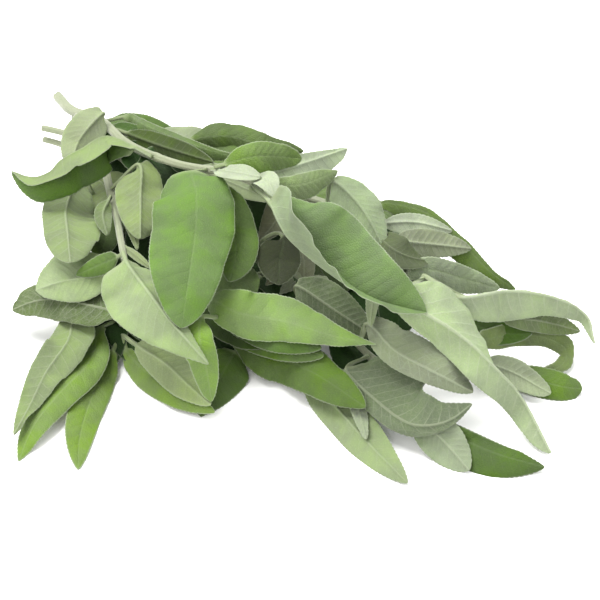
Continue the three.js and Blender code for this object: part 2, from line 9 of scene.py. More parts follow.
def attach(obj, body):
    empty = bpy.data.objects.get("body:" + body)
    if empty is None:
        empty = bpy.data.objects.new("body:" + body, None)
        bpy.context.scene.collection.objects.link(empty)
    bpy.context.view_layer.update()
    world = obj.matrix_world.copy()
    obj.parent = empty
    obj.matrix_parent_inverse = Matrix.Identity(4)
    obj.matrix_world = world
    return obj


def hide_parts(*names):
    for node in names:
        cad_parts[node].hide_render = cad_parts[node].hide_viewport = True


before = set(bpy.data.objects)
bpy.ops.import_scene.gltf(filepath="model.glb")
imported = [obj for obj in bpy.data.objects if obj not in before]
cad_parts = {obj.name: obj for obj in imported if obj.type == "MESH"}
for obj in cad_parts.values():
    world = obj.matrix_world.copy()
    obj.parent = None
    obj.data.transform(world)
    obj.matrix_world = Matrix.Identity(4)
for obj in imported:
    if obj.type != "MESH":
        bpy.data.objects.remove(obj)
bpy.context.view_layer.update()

# ---- Table, light and camera -----------------------------------------------------------------
# The bunch lies on a plain pale table in a soft box of studio light. A long lens looks down at
# it from the side that its leaves are fanned towards.
MM = 0.001
LENS = 85.0
LENS_SENSOR = 36.0
CAMERA_AT = Vector((416.8, -170.4, 344.3)) * MM
CAMERA_LOOKS_AT = Vector((20.1, 23.0, -0.5)) * MM
ROOM_LIGHT = 0.8
TABLE_HALF = 3.0

camera = bpy.data.objects.new("camera", bpy.data.cameras.new("camera"))
bpy.context.scene.collection.objects.link(camera)
camera.data.lens = LENS
camera.data.sensor_width = LENS_SENSOR
camera.data.clip_start = 0.02
camera.location = CAMERA_AT
camera.rotation_euler = (CAMERA_LOOKS_AT - CAMERA_AT).to_track_quat("-Z", "Y").to_euler()
bpy.context.scene.camera = camera


def soft_box(name, place, size, watts, colour):
    """A square studio light at a place, turned towards the bunch."""
    light = bpy.data.lights.new(name, "AREA")
    light.shape = "SQUARE"
    light.size = size
    light.energy = watts
    light.color = colour
    lamp = bpy.data.objects.new(name, light)
    bpy.context.scene.collection.objects.link(lamp)
    lamp.location = place
    lamp.rotation_euler = (-Vector(place)).to_track_quat("-Z", "Y").to_euler()


soft_box("top_light", (-0.35, -0.15, 1.0), 0.8, 23.5, (1.0, 0.995, 0.98))
soft_box("front_light", (0.5, -0.75, 0.75), 0.7, 6.4, (1.0, 0.99, 0.97))
soft_box("side_light", (0.7, 0.7, 0.6), 0.7, 4.4, (0.97, 0.99, 1.0))

world = bpy.data.worlds.new("studio")
world.use_nodes = True
world.node_tree.nodes["Background"].inputs["Color"].default_value = (1.0, 1.0, 1.0, 1.0)
world.node_tree.nodes["Background"].inputs["Strength"].default_value = ROOM_LIGHT
bpy.context.scene.world = world
bpy.context.scene.view_settings.view_transform = "Standard"


def node_maker(material):
    """Clears a material and gives the function that adds a node to it.

    Inputs are given by name with _ for a space, or as value_2 for the third one, and are set
    to a value or linked to another node's output."""
    material.use_nodes = True
    tree = material.node_tree
    tree.nodes.clear()

    def add(kind, settings=None, **inputs):
        node = tree.nodes.new(kind)
        for key, value in (settings or {}).items():
            setattr(node, key, value)
        for key, value in inputs.items():
            place = int(key[6:]) if key.startswith("value_") else key.replace("_", " ")
            if isinstance(value, bpy.types.NodeSocket):
                tree.links.new(value, node.inputs[place])
            else:
                node.inputs[place].default_value = value
        return node

    return add


def mixed(add, share, low, high):
    """Colour between low and high, by share."""
    return add("ShaderNodeMix", {"data_type": "RGBA"}, value_0=share, value_6=low,
               value_7=high).outputs[2]


def table_finish():
    """Smooth pale laminate with a trace of unevenness."""
    material = bpy.data.materials.new("pale_table")
    add = node_maker(material)
    place = add("ShaderNodeTexCoord").outputs["Object"]
    cloud = add("ShaderNodeTexNoise", Vector=place, Scale=9.0, Detail=3.0).outputs["Fac"]
    paint = mixed(add, cloud, (0.93, 0.93, 0.925, 1), (0.95, 0.95, 0.945, 1))
    surface = add("ShaderNodeBsdfPrincipled", Base_Color=paint, Roughness=0.7)
    add("ShaderNodeOutputMaterial", Surface=surface.outputs["BSDF"])
    return material


table_mesh = bpy.data.meshes.new("table")
table_mesh.from_pydata(
    [(x * TABLE_HALF, y * TABLE_HALF, 0) for x, y in ((-1, -1), (1, -1), (1, 1), (-1, 1))],
    [], [(0, 1, 2, 3)])
table_top = bpy.data.objects.new("table", table_mesh)
table_mesh.materials.append(table_finish())
bpy.context.scene.collection.objects.link(table_top)

# ---- Stems -----------------------------------------------------------------------------------
# Six young shoots, square in section with a shallow groove down each face, pale green and finely
# haired. They were cut across at one end, and swell a little where each leaf grows.
RING = 8                   # points round each ring of a CAD body
STEM_STEP = 0.9 * MM
STEM_SIDES = 28
STEM_SQUARENESS = 0.055
STEM_GROOVE = 0.035
STEM_TWIST = 0.5           # radians, first one way and then the other
TWIST_LENGTH = 50 * MM
STEM_LUMPS = 0.02
LUMP_LENGTH = 6.3 * MM
NODE_SWELL = 0.16
NODE_SPREAD = 2.2 * MM
NODE_REACH = 4 * MM        # a leaf's foot nearer than this grows from the stem
# the rows of the cut end from its edge to the pith: depth and width, in radii of the stem
CUT_ROWS = ((0.0, 0.96), (-0.05, 0.86), (-0.02, 0.62), (0.10, 0.40), (0.16, 0.2))
CUT_LEAN = 0.16
LEAN_FADE = (1.0, 0.67, 0.33)
SHOOT_END = (0.8, 0.45)    # widths of the rows that close the growing end


def rings_of(node):
    """Reads a CAD body back as its rings of eight points: once from each end.

    Each reading is (rings, point at the near end, point at the far end)."""
    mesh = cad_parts[node].data
    places = np.empty(len(mesh.vertices) * 3)
    mesh.vertices.foreach_get("co", places)
    points, same = np.unique(places.reshape(-1, 3), axis=0, return_inverse=True)
    corners = np.empty(len(mesh.polygons) * 3, dtype=np.int64)
    mesh.polygons.foreach_get("vertices", corners)
    triangles = same.reshape(-1)[corners].reshape(-1, 3)
    beside = [set() for _ in points]
    for a, b, c in triangles:
        beside[a] |= {b, c}
        beside[b] |= {a, c}
        beside[c] |= {a, b}
    readings = []
    for pole in (i for i, around in enumerate(beside) if len(around) == RING):
        after = {}
        for triangle in triangles:
            if pole in triangle:
                k = list(triangle).index(pole)
                after[triangle[(k + 2) % 3]] = triangle[(k + 1) % 3]
        ring = [min(after)]
        while len(ring) < RING:
            ring.append(after[ring[-1]])
        rings = [ring]
        seen = {pole, *ring}
        while len(seen) < len(points) - 1:
            last = rings[-1]
            ring = [(beside[last[k]] & beside[last[(k + 1) % RING]] - seen).pop()
                    for k in range(RING)]
            rings.append(ring)
            seen |= set(ring)
        far = next(i for i in range(len(points)) if i not in seen)
        readings.append((points[np.array(rings)], points[pole], points[far]))
    return readings


def rings_from_foot(node):
    """A stem's or leaf's rings from its foot, its thicker end, and its two end points.

    The first and fifth points of each ring are the ones furthest apart."""
    best = (0,)
    for rings, near, far in rings_of(node):
        widths = np.linalg.norm(rings[:, :4] - rings[:, 4:], axis=2).sum(axis=0)
        rings = np.roll(rings, -int(np.argmax(widths)), axis=1)
        thickness = np.linalg.norm(rings[0, 2] - rings[0, 6])
        if thickness > best[0]:
            best = (thickness, rings, near, far)
    return best[1:]


def smooth_through(knots, values, at):
    """A smooth curve through values, one row at each knot, read at other places."""
    flat = values.reshape(len(knots), -1)
    gap = np.diff(knots)[:, None]
    rise = np.diff(flat, axis=0) / gap
    slope = np.empty_like(flat)
    slope[0], slope[-1] = rise[0], rise[-1]
    slope[1:-1] = (rise[:-1] * gap[1:] + rise[1:] * gap[:-1]) / (gap[:-1] + gap[1:])
    i = np.clip(np.searchsorted(knots, at, side="right") - 1, 0, len(knots) - 2)
    t = ((at - knots[i]) / gap[i, 0])[:, None]
    read = (flat[i] * (2 * t**3 - 3 * t**2 + 1) + slope[i] * gap[i] * (t**3 - 2 * t**2 + t)
            + flat[i + 1] * (3 * t**2 - 2 * t**3) + slope[i + 1] * gap[i] * (t**3 - t**2))
    return read.reshape((len(at),) + values.shape[1:])


def run_along(line):
    """Distance along a line at each of its points."""
    return np.concatenate([[0], np.cumsum(np.linalg.norm(np.diff(line, axis=0), axis=1))])


def unit(vectors):
    return vectors / np.maximum(np.linalg.norm(vectors, axis=-1, keepdims=True), 1e-12)


def make_piece(name, points, faces, materials, face_material, marks):
    """Makes a smooth mesh piece that rides with the bunch. marks are kept at each point."""
    mesh = bpy.data.meshes.new(name)
    mesh.from_pydata(points.tolist(), [], faces)
    for material in materials:
        mesh.materials.append(material)
    mesh.polygons.foreach_set("material_index", face_material)
    mesh.polygons.foreach_set("use_smooth", [True] * len(mesh.polygons))
    for key, values in marks.items():
        kind, field = ("FLOAT_VECTOR", "vector") if values.ndim == 2 else ("FLOAT", "value")
        attribute = mesh.attributes.new(key, kind, "POINT")
        attribute.data.foreach_set(field, values.astype(np.float32).ravel())
    mesh.update()
    piece = bpy.data.objects.new(name, mesh)
    bpy.context.scene.collection.objects.link(piece)
    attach(piece, "root")
    return piece


def closed_loops(rows):
    """Faces of a closed body through rows of points, facing out, with a point at each end.

    rows is an array of shape (rows, points round, 3). Gives (points, faces)."""
    count, around = rows.shape[:2]
    points = np.concatenate([rows.reshape(-1, 3), rows[:1].mean(axis=1), rows[-1:].mean(axis=1)])
    faces = []
    for r in range(count - 1):
        a, b = r * around, (r + 1) * around
        faces += [(a + k, a + (k + 1) % around, b + (k + 1) % around, b + k)
                  for k in range(around)]
    first, last, end = count * around, count * around + 1, (count - 1) * around
    faces += [(first, (k + 1) % around, k) for k in range(around)]
    faces += [(last, end + k, end + (k + 1) % around) for k in range(around)]
    return points, faces


def marked(add, key):
    """What was kept at each point of a mesh under a name, for a material to read."""
    return add("ShaderNodeAttribute", {"attribute_name": key}).outputs


def bark_finish():
    """Pale green bark with long faint streaks, creamier patches and a bloom of fine hairs."""
    material = bpy.data.materials.new("stem_bark")
    add = node_maker(material)
    mark = marked(add, "run")["Vector"]
    stretched = add("ShaderNodeMapping", Vector=mark, Scale=(0.16, 1.4, 1.4)).outputs["Vector"]
    streaks = add("ShaderNodeTexNoise", Vector=stretched, Scale=2.2, Detail=5.0,
                  Roughness=0.6).outputs["Fac"]
    hairs = add("ShaderNodeTexNoise", Vector=mark, Scale=7.0, Detail=3.0).outputs["Fac"]
    patches = add("ShaderNodeTexNoise", Vector=mark, Scale=0.11, Detail=2.0).outputs["Fac"]
    tone = add("ShaderNodeValToRGB", Fac=streaks)
    ramp = tone.color_ramp.elements
    ramp[0].position, ramp[0].color = 0.32, (0.107, 0.139, 0.064, 1)
    ramp[1].position, ramp[1].color = 0.72, (0.225, 0.257, 0.150, 1)
    cream = mixed(add, patches, tone.outputs["Color"], (0.225, 0.236, 0.161, 1))
    height = add("ShaderNodeMath", {"operation": "MULTIPLY_ADD"}, value_0=hairs, value_1=0.4,
                 value_2=streaks).outputs["Value"]
    relief = add("ShaderNodeBump", Height=height, Strength=0.5, Distance=0.00012)
    surface = add("ShaderNodeBsdfPrincipled", Base_Color=cream, Roughness=0.62,
                  Normal=relief.outputs["Normal"], Sheen_Weight=0.2, Sheen_Roughness=0.4)
    add("ShaderNodeOutputMaterial", Surface=surface.outputs["BSDF"])
    return material


def cut_finish():
    """The cut end: a greenish ring of bark, moist pale wood and a spongy white pith."""
    material = bpy.data.materials.new("stem_cut")
    add = node_maker(material)
    mark = marked(add, "run")["Vector"]
    spoke = marked(add, "spoke")["Fac"]
    grain = add("ShaderNodeTexNoise", Vector=mark, Scale=9.0, Detail=4.0).outputs["Fac"]
    uneven = add("ShaderNodeMath", {"operation": "MULTIPLY_ADD"}, value_0=grain, value_1=0.16,
                 value_2=spoke).outputs["Value"]
    growth = add("ShaderNodeValToRGB", Fac=uneven)
    ramp = growth.color_ramp.elements
    ramp[0].position, ramp[0].color = 0.35, (0.322, 0.332, 0.257, 1)
    ramp[1].position, ramp[1].color = 1.0, (0.107, 0.139, 0.064, 1)
    ramp.new(0.62).color = (0.225, 0.247, 0.139, 1)
    relief = add("ShaderNodeBump", Height=grain, Strength=0.6, Distance=0.0001)
    surface = add("ShaderNodeBsdfPrincipled", Base_Color=growth.outputs["Color"], Roughness=0.5,
                  Normal=relief.outputs["Normal"])
    add("ShaderNodeOutputMaterial", Surface=surface.outputs["BSDF"])
    return material


stem_bark, stem_cut = bark_finish(), cut_finish()
stem_lines = {}
leaf_feet = [rings_from_foot(node)[1] for node in sorted(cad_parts) if "leaf" in node]


def stem_piece(node, seed):
    """Replaces a CAD stem with its finished shoot."""
    rings = rings_from_foot(node)[0]
    centres = rings.mean(axis=1)
    radii = np.linalg.norm(rings - centres[:, None], axis=2).mean(axis=1)
    run = run_along(centres)
    at = np.linspace(0, run[-1], int(run[-1] / STEM_STEP))
    line = smooth_through(run, centres, at)
    radius = smooth_through(run, radii, at)
    stem_lines[node] = line
    for foot in leaf_feet:
        away = np.linalg.norm(line - foot, axis=1)
        if away.min() < NODE_REACH:
            here = at[int(np.argmin(away))]
            radius = radius * (1 + NODE_SWELL * np.exp(-((at - here) / NODE_SPREAD) ** 2))
    along = unit(np.gradient(line, axis=0))
    side = unit(np.cross(along, [0, 0, 1.0]))
    over = np.cross(side, along)
    angle = np.linspace(0, 2 * math.pi, STEM_SIDES, endpoint=False)
    turned = angle + STEM_TWIST * np.sin(at / TWIST_LENGTH + seed)[:, None]
    section = 1 + STEM_SQUARENESS * np.cos(4 * turned) - STEM_GROOVE * np.cos(8 * turned)
    section *= 1 + STEM_LUMPS * np.sin(at / LUMP_LENGTH + seed)[:, None] * np.sin(3 * angle + seed)
    reach = radius[:, None] * section
    body = (line[:, None] + side[:, None] * (np.cos(angle) * reach)[..., None]
            - over[:, None] * (np.sin(angle) * reach)[..., None])
    # the cut end has a rolled edge, leans a little and sinks at the pith
    lean = CUT_LEAN * math.sin(seed * 7)
    cut = [line[0] + (body[0] - line[0]) * share
           + along[0] * radius[0] * (depth + np.cos(angle) * lean * share)[:, None]
           for depth, share in reversed(CUT_ROWS)]
    for k, fade in enumerate(LEAN_FADE):
        body[k] += along[0] * (np.cos(angle) * lean * fade * radius[0])[:, None]
    end = [line[-1] + (body[-1] - line[-1]) * share + along[-1] * (1 - share) * radius[-1]
           for share in SHOOT_END]
    rows = np.array(cut + list(body) + end)
    points, faces = closed_loops(rows)
    face_material = np.zeros(len(faces), dtype=int)
    face_material[:STEM_SIDES * (len(CUT_ROWS) - 1)] = 1
    face_material[STEM_SIDES * (len(rows) - 1):STEM_SIDES * len(rows)] = 1
    length = np.concatenate([[0] * len(CUT_ROWS), at, [at[-1]] * len(SHOOT_END)]) / MM
    spoke = np.concatenate([[share for _, share in reversed(CUT_ROWS)],
                            [1] * (len(at) + len(SHOOT_END))])
    grain = np.stack(np.broadcast_arrays(
        length[:, None], 2 * np.cos(angle), 2 * np.sin(angle) + seed * 11), axis=2)
    grain = np.concatenate([grain.reshape(-1, 3), grain[0, :1], grain[-1, :1]])
    piece = make_piece(node + "_shoot", points, faces, [stem_bark, stem_cut], face_material,
                       {"run": grain, "spoke": np.append(np.repeat(spoke, STEM_SIDES), [0, 1])})
    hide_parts(node)


for number, stem_node in enumerate(n for n in sorted(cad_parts) if n.endswith("_stem")):
    stem_piece(stem_node, number + 1.0)

# ---- Crown leaves ----------------------------------------------------------------------------
# Two big leaves on top of the bunch, one of them folded, and two that lie under the first. Each
# is one oval blade on a short petiole, green and finely pebbled above, felted and pale below,
# where the midrib and side veins stand out.
BLADE_THICKNESS = 0.36 * MM
MARGIN_THICKNESS = 0.2 * MM
PETIOLE_HALF = 0.8 * MM
PETIOLE_STEP = 0.9 * MM
PETIOLE_EXTRA = 0.35 * MM     # thickness that a petiole has beyond the blade's, on each side
PETIOLE_FADE = 0.04           # share of the blade over which it flattens out
FOOT_SUNK = 0.9 * MM          # how far a petiole runs on into its stem
CAD_SKIN = 0.3 * MM           # half the thickness of a CAD leaf
HALFWAY = 0.535               # where a CAD ring's point stands between midrib and margin
FIRST_RING, LAST_RING = 0.04, 0.95     # how far along the blade the CAD's rings stand
TIP_FULLNESS = 0.3
MARGIN_WOBBLE = 0.045
WOBBLE_LENGTH = 7.3 * MM
TOOTH_PITCH = 1.6 * MM
TOOTH_DEPTH = 0.26 * MM
TOOTH_ZONE = 0.25             # share of the half width, next to the margin, that teeth reach
ROWS_PER_TOOTH = 4
RIB_COLUMNS = (0.0, 0.24, 0.5, 0.9)    # mm from the midrib's middle
BLADE_COLUMNS = 6             # between the midrib and each margin
VEIN_PAIRS = 13
VEIN_PITCH = (2.4 * MM, 5.2 * MM)      # least and greatest
VEIN_SLANT = 0.62
VEIN_BOW = 16.0
VEIN_STAGGER = 0.34           # how far the two sides' veins are out of step
VEIN_WIDTH = 0.36 * MM
VEIN_RIDGE = 0.09 * MM        # how far a vein stands out below
VEIN_GROOVE = 0.08 * MM       # and how deep it lies above
RIB_TAPER = 0.65
RIB_WIDTH = (0.25 * MM, 0.3 * MM)      # a part that stays the same, and one that tapers
RIB_KEEL = (0.12 * MM, 0.5 * MM)       # how deep it stands below, in the same two parts
RIB_GROOVE = 0.14 * MM
QUILT_DEPTH = 0.06 * MM
ROOM_REACH = 4 * MM           # past this, another leaf leaves room for any wave
ROOM_STEPS = (4, 2)           # rows and columns between the points where room is measured
WAVE_LIMIT = (0.05 * MM, 2 * MM)
# height, length along the blade, and how closely the wave keeps to the margin
WAVES = ((0.75 * MM, 17 * MM, 1.4), (0.45 * MM, 9 * MM, 2.0), (0.2 * MM, 5 * MM, 3.0))


def leaf_shape(node):
    """A CAD leaf's margin, halfway and midrib lines as five columns of rows from foot to tip,
    with the way its upper side faces at each row."""
    rings, _, tip = rings_from_foot(node)

    def span(half, rib, rim):
        near = np.linalg.norm(rings[3:9, half] - rings[3:9, rib], axis=1)
        return (near / np.linalg.norm(rings[3:9, rim] - rings[3:9, rib], axis=1)).mean()

    # the raised midrib makes the halfway points stand nearer the margin on the underside
    if span(1, 2, 0) + span(3, 2, 4) > span(7, 6, 0) + span(5, 6, 4):
        rings = np.roll(rings, -4, axis=1)
    facing = unit(rings[:, 2] - rings[:, 6])
    columns = np.stack([rings[:, 0], (rings[:, 1] + rings[:, 7]) / 2,
                        rings[:, 2] - facing * CAD_SKIN,
                        (rings[:, 3] + rings[:, 5]) / 2, rings[:, 4]], axis=1)
    return np.concatenate([columns, np.repeat(tip[None, None], 5, axis=1)]), facing


def sheet_rows(run, fineness):
    """Where a leaf's rows stand along it, and where its blade starts."""
    start = max(run[1] - FIRST_RING * (run[-2] - run[1]), 0.5 * run[1])
    blade = run[-1] - start
    petiole_rows = max(4, int(start / PETIOLE_STEP))
    blade_rows = max(20, int(blade / (TOOTH_PITCH / ROWS_PER_TOOTH / fineness)))
    at = np.concatenate([np.linspace(0, start, petiole_rows, endpoint=False),
                         start + blade * np.linspace(0, 1, blade_rows + 1)[:-1]])
    return at, start


def sheet_shares(widest, fineness):
    """Shares of the way out to a margin: a few columns on the midrib, the rest over the blade."""
    count = max(3, int(round(BLADE_COLUMNS * fineness)))
    rib_end = min(RIB_COLUMNS[-1] * MM / widest, 0.3)
    half = np.concatenate([
        np.array(RIB_COLUMNS) / RIB_COLUMNS[-1] * rib_end,
        rib_end + (1 - rib_end) * (np.arange(1, count + 1) / count) ** 0.88])
    return np.concatenate([-half[:0:-1], half])


def blade_column(columns, run, here, start, share, seed):
    """One column of a leaf's sheet, at a share of the way out to a margin, and how far out that
    margin is."""
    offsets = columns - columns[:, 2:3]
    near, far = (1, 0) if share < 0 else (3, 4)
    middle = smooth_through(run, columns[:, 2], here)
    halfway = smooth_through(run, offsets[:, near], here)
    edge = smooth_through(run, offsets[:, far], here)
    width = np.linalg.norm(edge, axis=1)
    # the blade opens from the petiole in a curve, and closes in a full tip
    first = np.linalg.norm(offsets[1, far])
    opened = np.clip((here - start) / (run[1] - start), 0, 1)
    narrow = PETIOLE_HALF + (first - PETIOLE_HALF) * np.sqrt(1 - (1 - opened) ** 2)
    u = (here - start) / (run[-1] - start)
    past = np.clip((u - LAST_RING) / (1 - LAST_RING), 0, 1)
    tip = np.maximum(1 - past, 1e-6) ** -TIP_FULLNESS
    wobble = np.sin(here / WOBBLE_LENGTH + seed + np.sign(share)) * np.clip(u * 5, 0, 1)
    size = np.where(here < run[1], np.minimum(narrow / np.maximum(width, 1e-9), 2.5),
                    tip * (1 + MARGIN_WOBBLE * wobble))
    a = abs(share)
    out = (halfway * a * (a - 1) / (HALFWAY * (HALFWAY - 1))
           + edge * a * (a - HALFWAY) / (1 - HALFWAY))
    return middle + size[:, None] * out, np.maximum(width * size, 1e-6)


def hill(x):
    return np.exp(-x * x)


def side_veins(s, y, out_share, blade, on_blade, seed):
    """The side veins, which leave the midrib in pairs and bow towards the tip.

    Gives a count that is whole on a vein, how clear the veins are, and how near one is."""
    aside = np.abs(y)
    pitch = np.clip(blade / VEIN_PAIRS, *VEIN_PITCH)
    phase = ((s - VEIN_SLANT * aside - VEIN_BOW * aside * aside) / pitch + VEIN_STAGGER * (y > 0)
             + 0.16 * np.sin(s / (6.1 * MM) + seed) + 0.1 * np.sin(y / (2.3 * MM) + seed * 2))
    fade = on_blade * (1 - 0.8 * out_share ** 1.5)
    return phase, fade, hill((phase - np.round(phase)) * pitch / VEIN_WIDTH) * fade


def clear_space(points, node):
    """How far each point is from the nearest other CAD body, and from the table."""
    low, high = points.min(axis=0) - ROOM_REACH, points.max(axis=0) + ROOM_REACH
    corners, triangles, count = [], [], 0
    for other in sorted(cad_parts):
        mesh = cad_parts[other].data
        places = np.empty(len(mesh.vertices) * 3)
        mesh.vertices.foreach_get("co", places)
        places = places.reshape(-1, 3)
        if other == node or (places.min(axis=0) > high).any() or (places.max(axis=0) < low).any():
            continue
        index = np.empty(len(mesh.polygons) * 3, dtype=np.int64)
        mesh.polygons.foreach_get("vertices", index)
        triangles.append(index.reshape(-1, 3) + count)
        corners.append(places)
        count += len(places)
    tree = BVHTree.FromPolygons(np.concatenate(corners).tolist(),
                                np.concatenate(triangles).tolist())
    near = [tree.find_nearest(Vector(point), ROOM_REACH)[3] for point in points]
    room = np.array([ROOM_REACH if gap is None else gap for gap in near])
    return np.minimum(room, points[:, 2])


def spread_grid(coarse, rows, columns, row_step, column_step):
    """Values known at every few rows and columns of a grid, filled in between."""
    down = np.clip(np.arange(rows) / row_step, 0, coarse.shape[0] - 1)
    over = np.clip(np.arange(columns) / column_step, 0, coarse.shape[1] - 1)
    known_down, known_over = np.arange(coarse.shape[0]), np.arange(coarse.shape[1])
    half = np.stack([np.interp(down, known_down, column) for column in coarse.T], axis=1)
    return np.stack([np.interp(over, known_over, row) for row in half])


def blade_waves(sheet, s, y, out_share, reach, on_blade, waviness, seed, node):
    """How far the blade waves up and down, held back where another leaf is close."""
    coarse = sheet[::ROOM_STEPS[0], ::ROOM_STEPS[1]]
    room = clear_space(coarse.reshape(-1, 3), node).reshape(coarse.shape[:2])
    room = spread_grid(room, *sheet.shape[:2], *ROOM_STEPS)
    limit = np.clip((room - CAD_SKIN) * 0.45 + 0.06 * MM, *WAVE_LIMIT)
    random = np.random.default_rng(seed)
    swing = np.zeros_like(y)
    for height, wave_length, power in WAVES:
        turn = random.uniform(0, 2 * math.pi, 2)
        wave_at = s / wave_length * 2 * math.pi
        ripple = np.where(y > 0, np.sin(wave_at + turn[0]), np.sin(wave_at * 0.87 + turn[1]))
        swing += (height * waviness * ripple * out_share ** power
                  * np.clip(reach / (9 * MM), 0.3, 1.2))
    return limit * np.tanh(swing * on_blade / limit)


def leaf_piece(name, shape, look, node=None, fineness=1.0):
    """Makes a leaf over its columns. look is brightness, greyness, warmth, veins and waviness."""
    columns, facing = shape
    vein_strength, waviness = look[3:]
    seed = sum(ord(letter) * (k + 3) for k, letter in enumerate(name)) % 97
    run = run_along(columns[:, 2])
    at, start = sheet_rows(run, fineness)
    blade = run[-1] - start
    length = np.clip((at - start) / blade, 0, 1)
    stalk = (1 - np.clip(length / PETIOLE_FADE, 0, 1))[:, None]
    widest = np.linalg.norm(columns[:, (0, 4)] - columns[:, 2:3], axis=2).max()
    shares = sheet_shares(widest, fineness)
    out_share = np.abs(shares)

    # rows slant forward with the side veins
    slant = VEIN_SLANT * widest * out_share * np.sin(math.pi * length)[:, None] ** 0.9
    along = np.minimum(at[:, None] + slant, run[-1])
    made = [blade_column(columns, run, along[:, k], start, share, seed)
            for k, share in enumerate(shares)]
    sheet = np.stack([places for places, _ in made], axis=1)
    reach = np.stack([margin for _, margin in made], axis=1)
    s = along - start
    y = shares * reach
    aside = np.abs(y)
    u = np.clip(s / blade, 0, 1)
    on_blade = np.clip(u / 0.05, 0, 1) * np.clip((1 - u) / 0.06, 0, 1)

    # which way is up, and out to the right-hand margin, at each point
    down = unit(np.gradient(sheet, axis=0))
    out = unit(np.gradient(sheet, axis=1))
    up = unit(np.cross(out, down))
    out = unit(out - down * (out * down).sum(axis=2, keepdims=True))
    guide = smooth_through(run[:-1], facing, np.clip(at, 0, run[-2]))
    up *= np.sign((up * guide[:, None]).sum(axis=2).mean())

    # the quilting between veins, the waves and the scalloped margin
    phase, fade, vein = side_veins(s, y, out_share, blade, on_blade, seed)
    quilt = (-QUILT_DEPTH * (0.5 + vein_strength) * np.cos(2 * math.pi * phase)
             * np.clip(aside / (2 * MM), 0, 1) * (1 - out_share ** 3) * on_blade)
    swing = blade_waves(sheet, s, y, out_share, reach, on_blade, waviness, seed, node)
    sheet = sheet + up * (swing + quilt)[..., None]
    tooth = np.abs(np.sin(math.pi * s / TOOTH_PITCH + 0.3 * np.sin(s / (5 * MM)))) ** 0.8
    near_margin = np.clip((out_share - (1 - TOOTH_ZONE)) / TOOTH_ZONE, 0, 1) ** 2
    bite = near_margin * (tooth - 0.6) * TOOTH_DEPTH * on_blade
    sheet = sheet + out * (np.sign(shares) * bite)[..., None]

    # the upper side, the underside with its raised midrib, and the rim between them
    slim = np.clip(1 - out_share ** 4, 0, 1)
    thick = (MARGIN_THICKNESS + (BLADE_THICKNESS - MARGIN_THICKNESS) * slim) / 2
    thick = thick + PETIOLE_EXTRA * stalk * slim
    rib_size = 1 - RIB_TAPER * u
    rib = hill(aside / (RIB_WIDTH[0] + RIB_WIDTH[1] * rib_size))
    keel = (RIB_KEEL[0] + RIB_KEEL[1] * rib_size) * rib
    upper = sheet + up * (thick - VEIN_GROOVE * vein - RIB_GROOVE * rib * on_blade)[..., None]
    under = sheet - up * (thick + VEIN_RIDGE * (0.5 + vein_strength) * vein + keel)[..., None]
    rims = [sheet[:, k] + out[:, k] * sign * MARGIN_THICKNESS * 0.4 for k, sign in ((-1, 1), (0, -1))]
    rows = np.concatenate([upper, rims[0][:, None], under[:, ::-1], rims[1][:, None]], axis=1)
    # the petiole runs on into its stem, and the blade closes at its tip
    into_stem = rows[0] - unit(sheet[1, 0] - sheet[0, 0]) * FOOT_SUNK
    rows = np.concatenate([into_stem[None], rows])
    points, faces = closed_loops(rows)
    points[-1] = columns[-1, 2]
    across = len(shares)
    loop_material = [0] * (across - 1) + [2, 2] + [1] * (across - 1) + [2, 2]
    face_material = loop_material * (len(rows) + 1)

    def looped(values):
        """Values of the blade's grid, laid out as the points of the closed body."""
        values = np.broadcast_to(values, sheet.shape[:2])
        round_rows = np.concatenate([values, values[:, -1:], values[:, ::-1], values[:, :1]], axis=1)
        round_rows = np.concatenate([round_rows[:1], round_rows])
        return np.concatenate([round_rows.ravel(), [values[0].mean(), values[-1].mean()]])

    marks = {
        "blade": np.stack([looped(s / MM), looped(y / MM), looped(seed * 3.7)], axis=1),
        "veins": np.stack([looped(phase), looped(fade), looped((1 - out_share) * reach / MM)], axis=1),
        "tone": np.repeat([look[:3]], len(points), axis=0),
        "strength": looped(vein_strength),
        "petiole": looped(stalk),
        "length": looped(u),
    }
    piece = make_piece(name, points, faces, LEAF_SKINS, face_material, marks)
    return piece


# the two sides of a leaf: each colour at its darkest and brightest, how much each kind of line
# shows as the veins get stronger and on any leaf, and how far pebbles, veins and net stand out
UPPER_SIDE = {
    "green": ((0.012, 0.035, 0.006, 1), (0.130, 0.221, 0.059, 1)),
    "ashen": ((0.027, 0.029, 0.020, 1), (0.212, 0.242, 0.165, 1)),
    "line": ((0.070, 0.102, 0.043, 1), (0.225, 0.284, 0.145, 1)),
    "net": (0.1, 0.04), "branch": (0.1, 0.0), "side": (0.3, 0.02), "rib": (0.6, 0.08),
    "hairs": 0.6, "pebble": 0.7, "vein_height": -0.5, "net_height": -0.3, "roughness": 0.62,
}
UNDERSIDE = {
    "green": ((0.034, 0.056, 0.020, 1), (0.243, 0.318, 0.167, 1)),
    "ashen": ((0.054, 0.056, 0.040, 1), (0.271, 0.295, 0.227, 1)),
    "line": ((0.161, 0.182, 0.118, 1), (0.322, 0.364, 0.252, 1)),
    "net": (0.22, 0.03), "branch": (0.3, 0.0), "side": (0.45, 0.08), "rib": (0.6, 0.15),
    "hairs": 0.35, "pebble": 0.5, "vein_height": 0.9, "net_height": 0.4, "roughness": 0.82,
}


